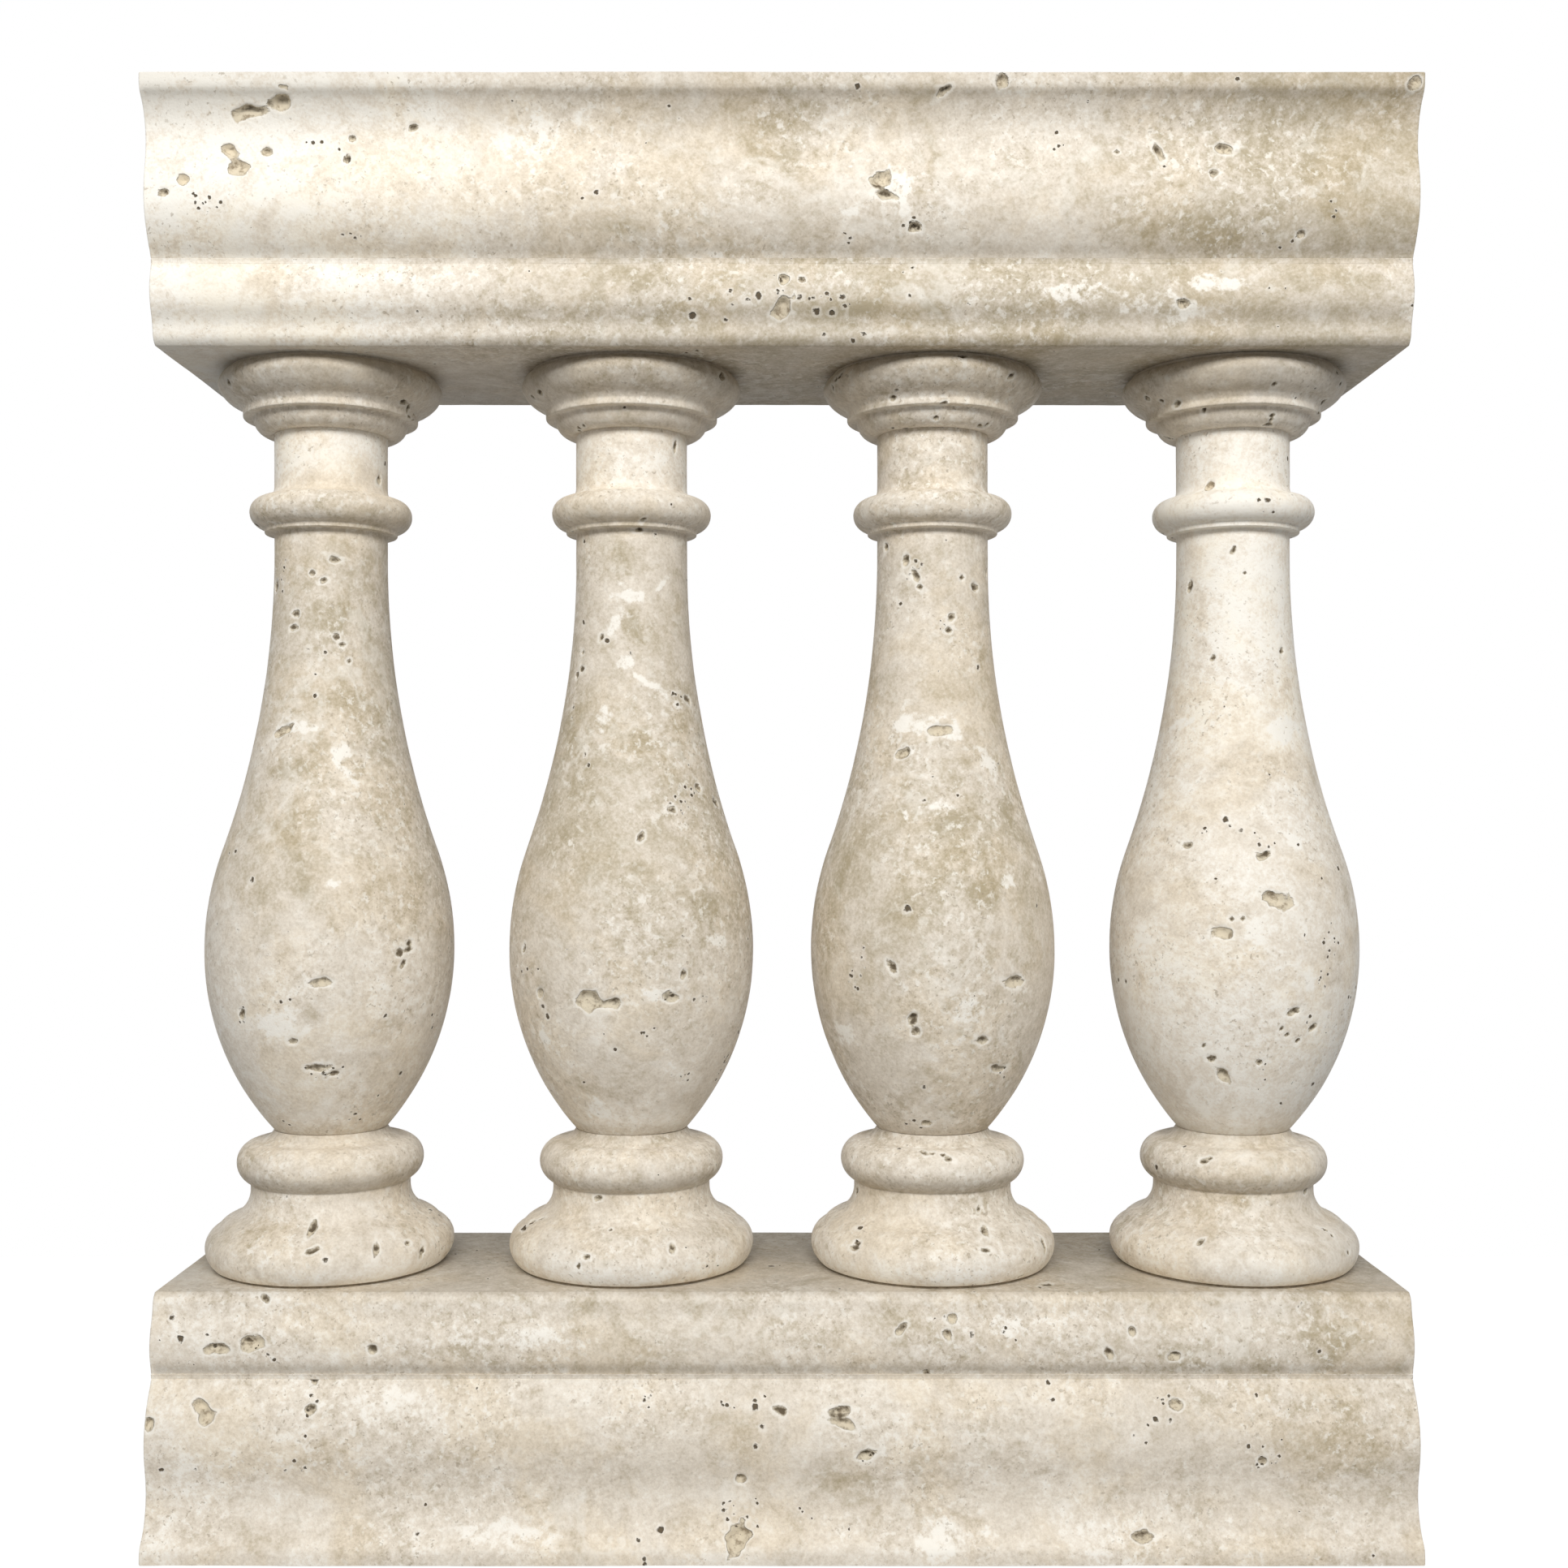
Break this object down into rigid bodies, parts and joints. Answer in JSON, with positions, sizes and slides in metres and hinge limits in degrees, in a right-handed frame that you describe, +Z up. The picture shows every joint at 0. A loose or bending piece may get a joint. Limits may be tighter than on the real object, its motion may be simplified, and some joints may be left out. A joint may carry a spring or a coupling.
{
  "type": "stone balustrade",
  "caption": "Travertine balustrade section: turned vase balusters with ringed feet, necks and caps, standing between a moulded base course and a matching moulded rail.",
  "frame": {"origin": "on the ground under the middle of the section", "axes": "+X along the run, the front faces -Y, +Z up"},
  "size_m": [0.948, 0.264, 1.1],
  "materials": {
    "travertine": "honed travertine with open pits",
    "mortar": "raked lime mortar"
  },
  "bodies": {
    "root": {"plinth": "travertine", "plinth_joint": "mortar", "base_slab": "travertine", "baluster_1_bed": "mortar", "baluster_1_foot": "travertine", "baluster_1_shaft": "travertine", "baluster_1_cap": "travertine", "baluster_1_top_bed": "mortar", "baluster_2_bed": "mortar", "baluster_2_foot": "travertine", "baluster_2_shaft": "travertine", "baluster_2_cap": "travertine", "baluster_2_top_bed": "mortar", "baluster_3_bed": "mortar", "baluster_3_foot": "travertine", "baluster_3_shaft": "travertine", "baluster_3_cap": "travertine", "baluster_3_top_bed": "mortar", "baluster_4_bed": "mortar", "baluster_4_foot": "travertine", "baluster_4_shaft": "travertine", "baluster_4_cap": "travertine", "baluster_4_top_bed": "mortar", "sub_rail": "travertine", "rail_joint": "mortar", "coping": "travertine"}
  },
  "joints": []
}
